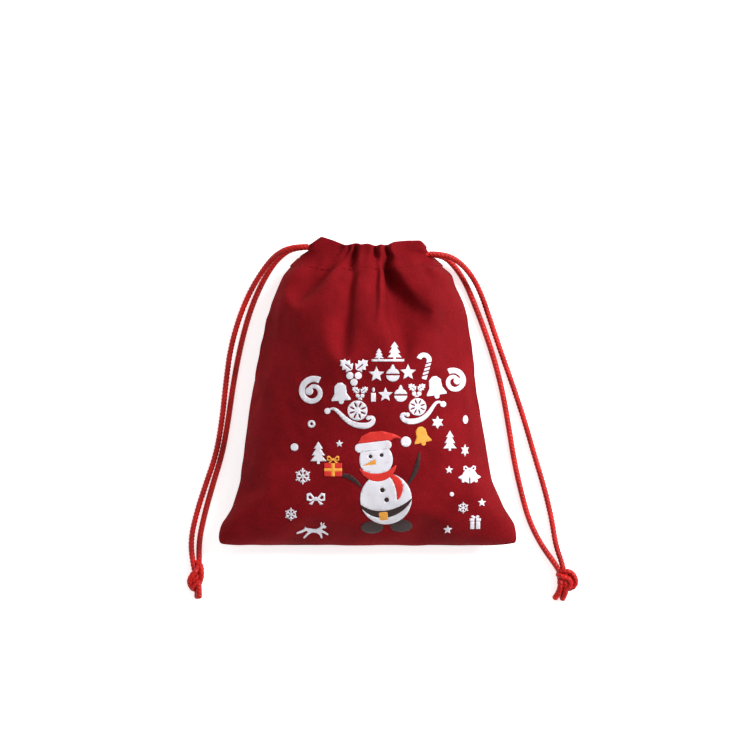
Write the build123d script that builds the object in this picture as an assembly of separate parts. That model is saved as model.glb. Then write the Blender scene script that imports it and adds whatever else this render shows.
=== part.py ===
from build123d import *
import math
import os

os.makedirs("parts", exist_ok=True)

# A drawstring gift sack, lightly filled and lying on its back. Millimetres.
# +X is the sack's right, +Y runs from its bottom seam to its mouth, +Z is up from the table.
# The origin is on the table, under the middle of the sack.

# Driving dimensions
FABRIC = 1.2  # thickness of one layer of velour
PRINT = 0.4  # height of the transfer print above the velour
PRESSED = 0.2  # how far the print is pressed into the pile
CORD = 2.7  # diameter of the drawcords
SEAM_ALLOWANCE = 7.0  # width of the cloth left inside each seam
SEAM_INSET = 4.3  # distance of the seam stitches inside each seam
STITCH = (3.4, 0.7, 0.5)  # length, width and height of one stitch
STITCH_PITCH = 4.8

BOTTOM_Y = -79.0  # bottom seam
NECK_Y = 61.0  # where the body of the sack meets the casings
MOUTH_Y = 79.0  # free edge of the casings
FRONT_CORD_Z = 19.5  # height of the cords in the front casing
BACK_CORD_Z = 6.5  # height of the cords in the back casing
LEFT_CORD_Y = 74.4  # the left drawcord's line through both casings
RIGHT_CORD_Y = 70.6  # the right drawcord's line
CASING = 7.0  # outer thickness of a casing
TUNNEL = (8.6, 4.0)  # width and height of the tunnel in a casing
NECK = 43.5  # half of the width where the body meets the casings
COLLAR = 31.0  # half of the collar's width, where the cords leave it
LOOP_END = 22.5  # how far past the middle each cord turns from the front casing to the back one

# Cross-sections of the filled body, from the bottom seam to the neck:
# y, half width, height of the side seam, top, and bottom before it is flattened
SECTIONS = [
    (BOTTOM_Y, 75.0, 26.0, 29.5, 22.5),
    (-74.0, 77.0, 26.0, 40.0, 12.0),
    (-62.0, 72.0, 25.0, 50.0, 1.5),
    (-45.0, 65.5, 24.0, 58.0, -4.0),
    (-20.0, 60.5, 22.0, 62.0, -5.0),
    (10.0, 56.5, 19.0, 60.0, -5.0),
    (35.0, 53.0, 16.0, 51.0, -4.0),
    (50.0, 48.5, 14.0, 38.0, -1.0),
    (NECK_Y, NECK, 13.0, 23.0, 3.0),
]

# Where the body is lofted through; the last station is the neck.
STATIONS = [BOTTOM_Y, -77, -73, -68, -61, -53, -45, -36, -26, -15, -4, 7, 17, 26, 34, 41, 47, 52, 57]
STATIONS.append(NECK_Y)
PAST_NECK = 0.5  # how far the hollow runs past the neck, so that the body is open there


def between(y, column):
    """A value of the section table at y, on a smooth curve through the table's rows."""
    rows = [SECTIONS[0]] + SECTIONS + [SECTIONS[-1]]
    for before, low, high, after in zip(rows, rows[1:], rows[2:], rows[3:]):
        if y <= high[0]:
            break
    span = high[0] - low[0]
    share = min(1.0, max(0.0, (y - low[0]) / span))
    slope_low = (high[column] - before[column]) / (high[0] - before[0]) * span
    slope_high = (after[column] - low[column]) / (after[0] - low[0]) * span
    square, cube = share**2, share**3
    return (
        low[column] * (2 * cube - 3 * square + 1)
        + slope_low * (cube - 2 * square + share)
        + high[column] * (3 * square - 2 * cube)
        + slope_high * (cube - square)
    )


def section(y, half_width, seam, top, bottom):
    """A closed cross-section in the XZ plane at y: one half-ellipse above the side seams, one below."""
    plane = Plane(origin=(0, y, seam), x_dir=(1, 0, 0), z_dir=(0, -1, 0))
    front = EllipticalCenterArc((0, 0), half_width, top - seam, start_angle=0, arc_size=180)
    back = EllipticalCenterArc((0, 0), half_width, seam - bottom, start_angle=180, arc_size=180)
    return make_face([plane * front, plane * back])


def body(inset=0.0):
    """The filled body of the sack, smaller by inset all round, and flat where it lies on the table."""
    faces = []
    for y in STATIONS:
        half_width, seam, top, bottom = (between(y, column) for column in range(1, 5))
        trim = inset * min(1.0, (top - bottom) / 14)
        shift = inset if y == STATIONS[0] else 0.0
        if inset and y == NECK_Y:
            shift = PAST_NECK
        faces.append(section(y + shift, half_width - inset, seam, top - trim, bottom + trim))
    solid = loft(faces)
    above = Pos(0, 0, inset) * Box(200, 200, 100, align=(Align.CENTER, Align.CENTER, Align.MIN))
    return solid & above


def under_seam(rise=0.0):
    """Everything below the surface through the side seams, moved up by rise."""
    line = [(y, between(y, 2) + rise) for y in STATIONS]
    outline = [(-90, line[0][1])] + line + [(90, line[-1][1]), (90, -20), (-90, -20)]
    face = make_face(Plane.YZ * Polyline(*outline, close=True))
    return extrude(face, amount=100, both=True)


def only(shape, label):
    """The shape as one labelled part, with its colour left to the material."""
    shape.label = label
    return shape


def write(name, *shapes):
    """Write one sub-part, a solid or a group of solids, to its own file."""
    solids = [solid for shape in shapes for solid in shape.solids()]
    made = solids[0] if len(solids) == 1 else Compound(children=solids)
    export_step(only(made, name), f"parts/{name}.step")


# Panels ----------------------------------------------------------------------


def panels():
    """The front and back panels, one shell of cloth split along the side and bottom seams."""
    shell = outer - cavity
    lower = under_seam()
    write("front_panel", shell - lower)
    write("back_panel", shell & lower)


def seam_allowances():
    """The turned-in edges of both panels, a double layer inside each seam."""
    band = under_seam(FABRIC) - under_seam(-FABRIC)
    inset = FABRIC + SEAM_ALLOWANCE
    corner = STATIONS[0] + inset
    side = [(between(y, 1) - inset, y) for y in [corner] + STATIONS[3:] + [NECK_Y + 10]]
    core = extrude(make_face(Polyline(*side, *[(-x, y) for x, y in side[::-1]], close=True)), amount=100)
    rim = (cavity - core) & band
    from_y, to_y = (Align.CENTER, Align.MIN, Align.CENTER), (Align.CENTER, Align.MAX, Align.CENTER)
    upper = Pos(0, corner, 0) * Box(200, NECK_Y - 2 - corner, 200, align=from_y)
    lower = Pos(0, corner, 0) * Box(200, 40, 200, align=to_y)
    left = Box(100, 200, 200, align=(Align.MAX, Align.CENTER, Align.CENTER))
    right = Box(100, 200, 200, align=(Align.MIN, Align.CENTER, Align.CENTER))
    write("left_seam_allowance", rim & upper & left)
    write("right_seam_allowance", rim & upper & right)
    write("bottom_seam_allowance", rim & lower)


def stitch(x, y, z, angle=0.0):
    """One stitch, its underside on the cloth at z, turned in the XY plane."""
    bar = Box(*STITCH, align=(Align.CENTER, Align.CENTER, Align.MIN))
    return Location((x, y, z), (0, 0, angle)) * bar


def seam_threads():
    """The stitches of the side and bottom seams, on the seam allowances inside the sack."""
    inside = FABRIC + SEAM_INSET
    for name, side in (("left", -1), ("right", 1)):
        row = []
        y = -64.0
        while y < NECK_Y - 6:
            slope = between(y + 1, 1) - between(y - 1, 1)
            x = between(y, 1) - inside
            row.append(seam_stitch(side * x, y, 90 - side * math.degrees(math.atan2(slope, 2))))
            y += STITCH_PITCH
        write(f"{name}_seam_thread", *row)
    bottom = BOTTOM_Y + FABRIC + SEAM_INSET
    steps = int(2 * 62 / STITCH_PITCH)
    xs = [(k - steps / 2) * STITCH_PITCH for k in range(steps + 1)]
    write("bottom_seam_thread", *[stitch(x, bottom, between(bottom, 2) + FABRIC) for x in xs])


def seam_stitch(x, y, angle):
    """A stitch that lies along the sloping side seam allowance."""
    slope = math.degrees(math.atan2(between(y + 1, 2) - between(y - 1, 2), 2))
    bar = Box(*STITCH, align=(Align.CENTER, Align.CENTER, Align.MIN))
    lift = between(y, 2) + FABRIC + 0.1
    tilt, turn = Location((0, 0, 0), (slope, 0, 0)), Location((0, 0, 0), (0, 0, angle))
    return Location((x, y, lift)) * tilt * turn * bar


# Casings ---------------------------------------------------------------------


def casing(cord_z, inward):
    """A hem that makes one half of the drawstring tunnel; inward is the side of its folded leaf."""
    outline = [(NECK, NECK_Y), (37.5, 67.2), (COLLAR, 70.0), (COLLAR, 77.2), (25.0, MOUTH_Y)]
    mirrored = [(-x, y) for x, y in reversed(outline)]
    face = make_face(Polyline(*(outline + mirrored), close=True))
    solid = Pos(0, 0, cord_z - CASING / 2) * extrude(face, amount=CASING)
    middle = (LEFT_CORD_Y + RIGHT_CORD_Y) / 2
    tunnel = Pos(0, middle, cord_z) * Box(100, *TUNNEL)
    # The folded leaf ends short of the side seams, where the cords turn from one casing to the other.
    leaf_z = cord_z + inward * CASING / 2
    gaps = [Pos(side * COLLAR, middle, leaf_z) * Box(18, TUNNEL[0], CASING) for side in (-1, 1)]
    return solid - tunnel - gaps[0] - gaps[1]


def casings():
    """Both casings and the stitch row that closes each one."""
    write("front_casing", casing(FRONT_CORD_Z, -1))
    write("back_casing", casing(BACK_CORD_Z, 1))
    xs = [k * STITCH_PITCH for k in range(-8, 9)]
    front = FRONT_CORD_Z + CASING / 2
    back = BACK_CORD_Z - CASING / 2 - STITCH[2]
    write("front_casing_stitches", *[stitch(x, NECK_Y + 2.4, front) for x in xs])
    write("back_casing_stitches", *[stitch(x, NECK_Y + 2.4, back) for x in xs])


# Drawcords -------------------------------------------------------------------

LEFT_FRONT_ROUTE = [
    (-31.0, 74.4, 19.5), (-39.5, 74.4, 19.5), (-48.0, 70.4, 13.0), (-55.0, 62.0, 6.4),
    (-61.3, 51.5, 3.0), (-66.8, 38.5, 1.4), (-71.4, 22.0, 1.4), (-73.7, 4.0, 1.4),
    (-75.6, -14.5, 1.4), (-78.6, -32.0, 1.4), (-84.2, -48.0, 1.4), (-89.0, -63.0, 1.4),
    (-91.9, -77.0, 1.8), (-90.2, -89.5, 3.4),
]
LEFT_BACK_ROUTE = [
    (-31.0, 74.4, 6.5), (-38.5, 74.4, 6.5), (-46.3, 69.6, 2.6), (-53.0, 60.2, 1.4),
    (-58.6, 48.6, 1.4), (-63.0, 36.0, 1.4), (-66.9, 20.0, 1.4), (-70.0, 3.0, 1.4),
    (-72.4, -14.5, 1.4), (-75.3, -31.0, 1.4), (-80.2, -47.0, 1.4), (-84.4, -62.0, 1.4),
    (-87.5, -76.5, 1.8), (-87.2, -89.5, 3.4),
]
RIGHT_FRONT_ROUTE = [
    (31.0, 70.6, 19.5), (38.5, 70.6, 19.5), (46.4, 66.8, 13.0), (53.2, 59.4, 6.4),
    (58.2, 49.4, 3.0), (62.4, 37.0, 1.4), (67.8, 21.0, 1.4), (74.0, 3.6, 1.4),
    (80.0, -14.5, 1.4), (85.3, -33.0, 1.4), (90.6, -50.5, 1.4), (94.2, -66.0, 1.4),
    (96.0, -78.5, 1.8), (100.0, -90.0, 3.4),
]
RIGHT_BACK_ROUTE = [
    (31.0, 70.6, 6.5), (37.5, 70.6, 6.5), (44.2, 64.8, 2.6), (49.8, 56.2, 1.4),
    (54.4, 45.0, 1.4), (59.4, 32.0, 1.4), (64.6, 16.5, 1.4), (68.9, -0.5, 1.4),
    (72.0, -18.5, 1.4), (74.7, -35.5, 1.4), (78.3, -51.5, 1.4), (82.3, -66.0, 1.4),
    (88.6, -78.6, 1.8), (96.9, -90.0, 3.4),
]


# The lumps of each knot, as centre, radius and half length, and where its two short ends run from and to.
LEFT_LOBES = [(-88.7, -94.6, 3.9, 3.9, 5.4)]
LEFT_TIPS = [((-89.0, -97.0, 1.5), (-88.9, -104.4, 1.4)), ((-87.9, -97.0, 4.6), (-87.4, -103.6, 4.2))]
RIGHT_LOBES = [(98.6, -95.0, 3.9, 3.9, 5.4), (103.4, -94.8, 3.8, 3.8, 5.2)]
RIGHT_TIPS = [((98.0, -97.0, 1.5), (94.6, -105.0, 1.4)), ((101.6, -97.0, 2.0), (99.4, -106.4, 1.4))]


def arc_radii(route):
    """The largest arc that each corner's two runs leave room for."""
    runs = [(Vector(*b) - Vector(*a)) for a, b in zip(route, route[1:])]
    radii = []
    for before, after in zip(runs, runs[1:]):
        half_turn = math.radians(before.get_angle(after)) / 2
        radii.append(0.45 * min(before.length, after.length) / math.tan(half_turn))
    return radii


def cord_tube(name, route):
    """A drawcord's free strand: straight runs joined by tangent arcs, swept to a tube."""
    radii = arc_radii(route)
    path = FilletPolyline(*route, radius=radii)
    start = Plane(origin=path @ 0, z_dir=path % 0)
    tube = sweep(start * Circle(CORD / 2), path=path)
    ideal = math.pi * (CORD / 2) ** 2 * path.length
    print(
        f"{name}: length {path.length:.1f}, volume {tube.volume / ideal:.4f} of section times length, "
        f"radii {', '.join(f'{radius:.0f}' for radius in radii)}"
    )
    write(name, tube)


def cord_loop(name, y, side):
    """The part of a drawcord inside the casings: out through the front one, back through the other."""
    rise = (FRONT_CORD_Z - BACK_CORD_Z) / 2
    middle = (FRONT_CORD_Z + BACK_CORD_Z) / 2
    far = -side * LOOP_END
    start = (side * COLLAR, y, FRONT_CORD_Z)
    front = Line(start, (far, y, FRONT_CORD_Z))
    bight = ThreePointArc((far, y, FRONT_CORD_Z), (far - side * rise, y, middle), (far, y, BACK_CORD_Z))
    back = Line((far, y, BACK_CORD_Z), (side * COLLAR, y, BACK_CORD_Z))
    path = Wire([front, bight, back])
    loop = sweep(Plane(origin=start, z_dir=(-side, 0, 0)) * Circle(CORD / 2), path=path)
    print(f"{name}: length {path.length:.1f}, bight radius {rise:.1f}")
    write(name, loop)


def lobe(x, y, z, radius, half_length):
    """A rounded lump of knotted cord, longest along Y."""
    half = make_face(
        [
            Line((x, y - half_length, z), (x, y + half_length, z)),
            EllipticalCenterArc((x, y, z), radius, half_length, start_angle=-90, arc_size=180),
        ]
    )
    return revolve(half, Axis((x, y, z), (0, 1, 0)), 360)


def knot(name, lobes, entry_y):
    """An overhand knot in both strands, cut square where they enter it."""
    lump = lobe(*lobes[0])
    for extra in lobes[1:]:
        lump += lobe(*extra)
    below = Pos(0, entry_y, 0) * Box(400, 100, 100, align=(Align.CENTER, Align.MAX, Align.CENTER))
    write(name, lump & below)
    return lump & below


def cord_ends(name, tips, lump):
    """The two short ends of cord that stand out of a knot, round at their tips."""
    made = []
    for start, end in tips:
        line = Line(start, end)
        tube = sweep(Plane(origin=start, z_dir=line % 0) * Circle(CORD / 2), path=line)
        tube += Pos(*end) * Sphere(CORD / 2)
        made.append(tube - lump)
    write(name, *made)


def drawcords():
    """Both drawcords, each with two strands, a loop through the casings, a knot and two ends."""
    cord_tube("left_cord_front_strand", LEFT_FRONT_ROUTE)
    cord_tube("left_cord_back_strand", LEFT_BACK_ROUTE)
    cord_tube("right_cord_front_strand", RIGHT_FRONT_ROUTE)
    cord_tube("right_cord_back_strand", RIGHT_BACK_ROUTE)
    cord_loop("left_cord_loop", LEFT_CORD_Y, -1)
    cord_loop("right_cord_loop", RIGHT_CORD_Y, 1)
    left = knot("left_knot", LEFT_LOBES, LEFT_FRONT_ROUTE[-1][1])
    right = knot("right_knot", RIGHT_LOBES, RIGHT_FRONT_ROUTE[-1][1])
    cord_ends("left_cord_ends", LEFT_TIPS, left)
    cord_ends("right_cord_ends", RIGHT_TIPS, right)


# Print -----------------------------------------------------------------------


def shape(points):
    """A flat outline through points in the XY plane, straight from each to the next."""
    return make_face(Polyline(*points, close=True))


def disc(x, y, radius, tall=None):
    """A disc, or an ellipse when tall is given."""
    return Pos(x, y) * (Ellipse(radius, tall) if tall else Circle(radius))


def turned(x, y, angle, sketch):
    """A sketch drawn about the origin, turned and moved to its place."""
    return Location((x, y, 0), (0, 0, angle)) * sketch


def star(x, y, radius, points=5, inner=0.45, narrow=1.0):
    """A star with its first point upwards."""
    outline = []
    for k in range(2 * points):
        angle = math.pi / 2 + math.pi * k / points
        size = radius * (inner if k % 2 else 1)
        outline.append((x + narrow * size * math.cos(angle), y + size * math.sin(angle)))
    return shape(outline)


def snowflake(x, y, radius):
    """Six arms, each with one pair of barbs."""
    bar = (Align.MIN, Align.CENTER)
    width = 0.17 * radius
    flake = Circle(0.2 * radius)
    for k in range(6):
        arm = Rectangle(radius, width, align=bar)
        for side in (-1, 1):
            barb = Rectangle(0.38 * radius, width, align=bar)
            arm += Location((0.5 * radius, 0, 0), (0, 0, side * 55)) * barb
        flake += Location((0, 0, 0), (0, 0, 60 * k + 30)) * arm
    return turned(x, y, 0, flake)


def tree(x, y, width, height):
    """A fir in three tiers with a short trunk; y is the foot of the trunk."""
    right = [(0.28, 0.68), (0.14, 0.68), (0.4, 0.38), (0.2, 0.38), (0.5, 0.12), (0.08, 0.12), (0.08, 0)]
    left = [(-u, v) for u, v in reversed(right)]
    return shape([(x + width * u, y + height * v) for u, v in [(0, 1)] + right + left])


def leaf(x, y, length, width, angle):
    """A holly leaf from its stem at x, y, with a pointed edge and a gap along its vein."""
    right = [(0.06, 0.16), (0.2, 0.46), (0.32, 0.26), (0.5, 0.5), (0.62, 0.26), (0.8, 0.34), (0.84, 0.14)]
    outline = [(0, 0.06)] + right + [(1, 0)] + [(u, -v) for u, v in reversed(right)] + [(0, -0.06)]
    blade = shape([(length * u, width * v) for u, v in outline])
    vein = Pos(0.32 * length, 0) * Rectangle(0.5 * length, 0.09 * width)
    return turned(x, y, angle, blade - vein)


def sprig(x, y, size):
    """Two holly leaves with three berries under them."""
    made = [leaf(x + side * 0.07 * size, y, 0.5 * size, 0.42 * size, 90 - side * 52) for side in (-1, 1)]
    for dx, dy in ((-0.14, -0.2), (0.14, -0.2), (0, -0.42)):
        made.append(disc(x + dx * size, y + dy * size, 0.12 * size))
    return made


def bauble(x, y, size):
    """A round tree ornament with a cap, and a plain band round its middle."""
    ball = disc(x, y - 0.08 * size, 0.42 * size)
    ball -= Pos(x, y - 0.06 * size) * Rectangle(size, 0.11 * size)
    cap = Pos(x, y + 0.36 * size) * Rectangle(0.26 * size, 0.16 * size)
    return [ball + cap + disc(x, y + 0.48 * size, 0.08 * size)]


def candle(x, y, width, height):
    """A candle with a flame; y is its foot."""
    stick = Pos(x, y + 0.3 * height) * Rectangle(width, 0.6 * height)
    flame = disc(x, y + 0.82 * height, 0.3 * width, 0.16 * height)
    return [stick, flame]


def cane(x, y, height, angle):
    """A striped candy cane that stands on x, y."""
    bend = 0.21 * height

    def path(t):
        run = t * (0.74 * height + math.pi * bend)
        if run < 0.74 * height:
            return 0.0, run
        turn = (run - 0.74 * height) / bend
        return -bend * (1 - math.cos(turn)), 0.74 * height + bend * math.sin(turn)

    made = band(path, lambda t: 0.19 * height, 40)
    for k in range(1, 5):
        made -= Location((0, 0.17 * k * height, 0), (0, 0, 32)) * Rectangle(0.4 * height, 0.05 * height)
    return turned(x, y, angle, made)


def band(path, width, steps=24):
    """A strip along path(t), as wide as width(t), for t from 0 to 1."""
    upper, lower = [], []
    for k in range(steps + 1):
        t = k / steps
        (x0, y0), (x1, y1) = path(max(0, t - 0.001)), path(min(1, t + 0.001))
        length = math.hypot(x1 - x0, y1 - y0)
        nx, ny = (y0 - y1) / length, (x1 - x0) / length
        (x, y), half = path(t), width(t) / 2
        upper.append((x + nx * half, y + ny * half))
        lower.append((x - nx * half, y - ny * half))
    return shape(upper + lower[::-1])


def spiral(x, y, radius, start, turn, thick):
    """A scroll that tightens from radius towards x, y, and ends in a bead."""

    def path(t):
        angle = math.radians(start + turn * t)
        size = radius * (1 - 0.72 * t)
        return x + size * math.cos(angle), y + size * math.sin(angle)

    curl = band(path, lambda t: thick * (1 - 0.45 * t), 36)
    return curl + disc(*path(1), 0.62 * thick)


def cubic(start, bend_a, bend_b, end):
    """A cubic curve as a function from 0..1 to a point."""

    def path(t):
        u = 1 - t
        weights = (u**3, 3 * u * u * t, 3 * u * t * t, t**3)
        points = (start, bend_a, bend_b, end)
        return tuple(sum(w * p[axis] for w, p in zip(weights, points)) for axis in (0, 1))

    return path


def swoosh(start, bend_a, bend_b, end, thick):
    """A stroke along a cubic curve that tapers to both ends."""
    path = cubic(start, bend_a, bend_b, end)
    return band(path, lambda t: 0.5 + thick * math.sin(math.pi * t) ** 0.8, 28)


def flourish(start, low, end, thick):
    """A long stroke from a bead at start that swells to low and curls up to a bead at end."""
    lean = 1 if low[0] > start[0] else -1
    sweep_down = cubic(start, (start[0] + lean * 6, start[1] + 5), (low[0] - lean * 12, low[1]), low)
    curl_up = cubic(low, (low[0] + lean * 5.4, low[1]), (end[0] + lean * 4.2, end[1] + 1.6), end)
    made = band(sweep_down, lambda t: 0.9 + (thick - 0.9) * t, 28)
    made += band(curl_up, lambda t: thick * (1 - 0.5 * t), 20)
    return made + disc(*start, 1.5) + disc(*end, 1.1)


def bow(x, y, width, height):
    """A ribbon bow with two open loops and two tails."""
    made = disc(x, y, 0.11 * width)
    for side in (-1, 1):
        loop = [(0.02, 0), (0.3, 0.5), (0.5, 0.42), (0.5, -0.12), (0.28, -0.2)]
        hole = [(0.18, 0.06), (0.32, 0.28), (0.41, 0.24), (0.41, 0.02), (0.28, -0.04)]
        tail = [(0.02, 0), (0.12, -0.1), (0.4, -0.42), (0.22, -0.5)]
        scale_to = [
            shape([(x + side * width * u, y + height * v) for u, v in outline])
            for outline in (loop, hole, tail)
        ]
        made += scale_to[0] - scale_to[1]
        made += scale_to[2]
    return made


def bell(x, y, size, angle):
    """A bell that hangs from x, y, with its clapper showing."""
    right = [(0.1, -0.02), (0.27, -0.18), (0.3, -0.55), (0.46, -0.8), (0.46, -0.88)]
    left = [(-u, v) for u, v in reversed(right)]
    outline = shape([(size * u, size * v) for u, v in right + left])
    return turned(x, y, angle, outline + disc(0, -0.93 * size, 0.12 * size))


def bells(x, y, size):
    """Two bells under a small bow."""
    pair = bell(x - 0.5, y + 0.25 * size, 0.72 * size, -28)
    pair += bell(x + 0.5, y + 0.25 * size, 0.72 * size, 28)
    return pair + bow(x, y + 0.32 * size, 0.7 * size, 0.4 * size)


def gift(x, y, width, height):
    """A wrapped box with gaps for its ribbon and a bow on its lid; y is its foot."""
    made = []
    for side in (-1, 1):
        half_box = Rectangle(0.4 * width, 0.54 * height)
        half_lid = Rectangle(0.46 * width, 0.18 * height)
        ribbon_loop = Ellipse(0.2 * width, 0.1 * height)
        made.append(Pos(x + side * 0.28 * width, y + 0.27 * height) * half_box)
        made.append(Pos(x + side * 0.31 * width, y + 0.68 * height) * half_lid)
        made.append(turned(x + side * 0.2 * width, y + 0.88 * height, side * 25, ribbon_loop))
    return made


def deer(x, y, width):
    """A leaping deer, drawn in a box from x, y that is half as tall as it is wide."""
    outline = [
        (0.0, 0.16), (0.16, 0.2), (0.3, 0.27), (0.36, 0.22), (0.28, 0.14), (0.2, 0.03), (0.24, 0.02),
        (0.36, 0.13), (0.47, 0.21), (0.62, 0.2), (0.72, 0.13), (0.76, 0.02), (0.8, 0.03), (0.79, 0.14),
        (0.75, 0.21), (0.86, 0.18), (0.97, 0.12), (0.99, 0.15), (0.86, 0.24), (0.78, 0.29), (0.82, 0.35),
        (0.9, 0.35), (0.93, 0.39), (0.85, 0.44), (0.87, 0.52), (0.83, 0.49), (0.81, 0.44), (0.78, 0.54),
        (0.74, 0.5), (0.77, 0.43), (0.71, 0.36), (0.6, 0.31), (0.42, 0.33), (0.32, 0.34), (0.27, 0.39),
        (0.25, 0.33), (0.14, 0.26), (0.0, 0.2),
    ]
    return shape([(x + width * u, y + width * v) for u, v in outline])


LEFT_MEDALLION = (-5.7, -8.9, 5.0)
RIGHT_MEDALLION = (24.4, -7.1, 4.4)


def garland():
    """Winter ornaments in two rows with a scroll at each end, and two flourishes under them."""
    made = sprig(-7.4, 11.6, 15.0) + [star(3.8, 9.2, 4.1)] + bauble(12.0, 9.6, 8.0)
    made += [star(19.6, 10.2, 4.1), cane(27.6, 6.8, 12.4, -16)]
    made += [spiral(-28.1, 0.4, 6.8, 60, 470, 3.2), bell(-14.5, 5.2, 10.4, 4)] + sprig(-4.4, 0.2, 8.4)
    made += candle(2.3, -4.4, 2.4, 7.2) + [star(8.3, -1.0, 3.8)] + bauble(15.9, -0.6, 7.8)
    made += sprig(24.0, 1.4, 9.2) + [bell(32.8, 8.4, 11.0, 8), spiral(43.0, 5.6, 5.8, 120, -470, 2.9)]
    made.append(flourish((-20.8, -9.2), (-2.4, -16.6), (-0.4, -12.6), 3.0))
    made.append(flourish((37.4, -5.8), (21.0, -14.4), (19.4, -11.0), 2.8))
    clear = [disc(x, y, radius + 0.6) for x, y, radius in (LEFT_MEDALLION, RIGHT_MEDALLION)]
    return [cut_all(sketch, clear) for sketch in made]


def medallion(x, y, radius):
    """A disc pierced by eight narrow petals."""
    made = disc(x, y, radius)
    for k in range(8):
        petal = Pos(0.6 * radius, 0) * Ellipse(0.28 * radius, 0.09 * radius)
        made -= turned(x, y, 45 * k + 20, petal)
    return [made]


HEAD = (3.6, -33.6, 8.4)
BELLY = (8.6, -53.6, 13.0)
PRESENT = (-18.0, -38.8)


def snowman():
    """A snowman of four colours, as {colour: flat shapes that don't overlap}."""
    head = disc(*HEAD)
    belly = disc(*BELLY)
    scarf = swoosh((-4.6, -38.4), (1.0, -45.0), (10.0, -43.6), (13.6, -36.6), 3.6)
    scarf += swoosh((9.4, -41.0), (15.4, -43.0), (16.4, -48.6), (14.4, -54.0), 3.4)
    brim = turned(2.2, -27.0, 7, RectangleRounded(18.5, 4.4, 2.1))
    hat = shape([(-5.6, -25.4), (-3.6, -21.8), (0.4, -19.8), (6.6, -19.2), (13.0, -20.8), (17.4, -23.2),
                 (13.0, -22.8), (11.4, -23.6), (10.4, -25.0)])
    pompom = disc(18.6, -24.6, 2.6)
    belt = swoosh((-4.4, -56.6), (2.0, -64.0), (14.0, -63.0), (21.6, -53.6), 3.2) & disc(*BELLY)
    left_arm = swoosh((-3.6, -47.4), (-8.0, -43.0), (-11.0, -41.0), (-15.6, -41.4), 1.9)
    right_arm = swoosh((19.4, -46.2), (23.6, -41.0), (25.0, -36.0), (25.4, -29.6), 1.9)
    feet = [disc(1.6, -68.2, 5.6, 3.2), disc(16.4, -67.4, 5.6, 3.2)]
    eyes = [disc(0.8, -32.0, 0.95), disc(6.4, -31.4, 0.95)]
    buttons = [disc(6.8, -49.0, 1.2), disc(9.0, -54.0, 1.2)]
    nose = shape([(3.4, -33.4), (3.6, -36.0), (-3.4, -36.8)])
    buckle = turned(7.4, -62.4, 6, RectangleRounded(4.4, 4.2, 0.8))
    present = Pos(*PRESENT) * Rectangle(9.0, 6.6)
    ribbon = Pos(*PRESENT) * Rectangle(1.8, 6.6) + Pos(*PRESENT) * Rectangle(9.0, 1.4)
    ribbon += bow(PRESENT[0], PRESENT[1] + 5.2, 6.2, 3.8)
    handbell = bell(25.6, -17.0, 9.4, 12)
    red = [hat - brim - pompom, scarf, present - ribbon]
    gold = [nose, buckle, ribbon, handbell]
    dark = [belt - buckle - scarf] + eyes + buttons + [foot - belly for foot in feet]
    dark += [left_arm - belly - scarf - present, right_arm - belly - scarf - handbell]
    white = [head - scarf - brim, belly - scarf - belt - buckle, brim - pompom, pompom]
    white = [cut_all(sketch, [nose] + eyes + buttons) for sketch in white]
    return {"white": white, "red": red, "gold": gold, "dark": dark}


def cut_all(sketch, cutters):
    """The sketch without any of the cutters."""
    for cutter in cutters:
        sketch = sketch - cutter
    return sketch


def lay_print(name, sketches):
    """Raise flat shapes to the front panel, as a thin layer on its upper surface."""
    pieces = []
    for sketch in sketches:
        for face in sketch.faces():
            prism = extrude(face, amount=80)
            pieces += [piece for piece in (prism & print_bed).solids() if piece.volume > 0.02]
    write(name, *pieces)


def prints():
    """Every motif on the front panel, grouped by kind."""
    lay_print("print_garland", garland())
    lay_print("print_medallions", medallion(*LEFT_MEDALLION) + medallion(*RIGHT_MEDALLION))
    twins = tree(5.1, 16.6, 4.9, 5.6) + tree(12.8, 16.6, 7.1, 9.0) + Pos(9.5, 16.2) * Rectangle(16.4, 1.1)
    lay_print("print_twin_trees", [twins])
    lay_print("print_trees", [tree(-25.4, -35.8, 8.2, 11.2), tree(40.8, -29.4, 6.8, 10.2)])
    flakes = [(-33.3, -42.1, 4.1), (47.7, -58.3, 2.8), (-39.4, -61.5, 3.2)]
    lay_print("print_snowflakes", [snowflake(*flake) for flake in flakes])
    stars = [(-14.8, -25.6, 2.0), (40.4, -39.0, 2.1), (57.2, -55.8, 2.2), (40.0, -69.5, 2.3)]
    six_pointed = [star(48.5, -29.3, 3.2, 6, 0.5, 0.7), star(34.5, -15.0, 3.3, 6, 0.55)]
    lay_print("print_stars", [star(*spot) for spot in stars] + six_pointed)
    dots = [disc(-37.5, -27.5, 1.9), disc(41.9, -51.3, 1.1), disc(48.8, -13.7, 1.3, 2.1)]
    lay_print("print_dots", dots)
    lay_print("print_ring", [disc(-28.8, -15.7, 1.9) - disc(-28.8, -15.7, 0.8)])
    lay_print("print_bow", [bow(-26.7, -53.6, 9.2, 6.2)])
    lay_print("print_bells", [bells(50.9, -41.7, 9.0)])
    lay_print("print_gift", gift(53.9, -69.2, 5.3, 7.0))
    lay_print("print_deer", [deer(-36.8, -74.4, 16.4)])
    for colour, sketches in snowman().items():
        lay_print(f"print_snowman_{colour}", sketches)


outer = body()
cavity = body(FABRIC)
raised = Pos(0, 0, PRINT) * outer
print_area = Pos(6, -25, 20) * Box(112, 108, 60, align=(Align.CENTER, Align.CENTER, Align.MIN))
print_bed = (raised & print_area) - Pos(0, 0, -PRESSED) * outer

panels()
seam_allowances()
seam_threads()
casings()
drawcords()
prints()
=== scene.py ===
import math

import bmesh
import bpy
import numpy as np
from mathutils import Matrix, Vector
from mathutils.bvhtree import BVHTree


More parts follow.
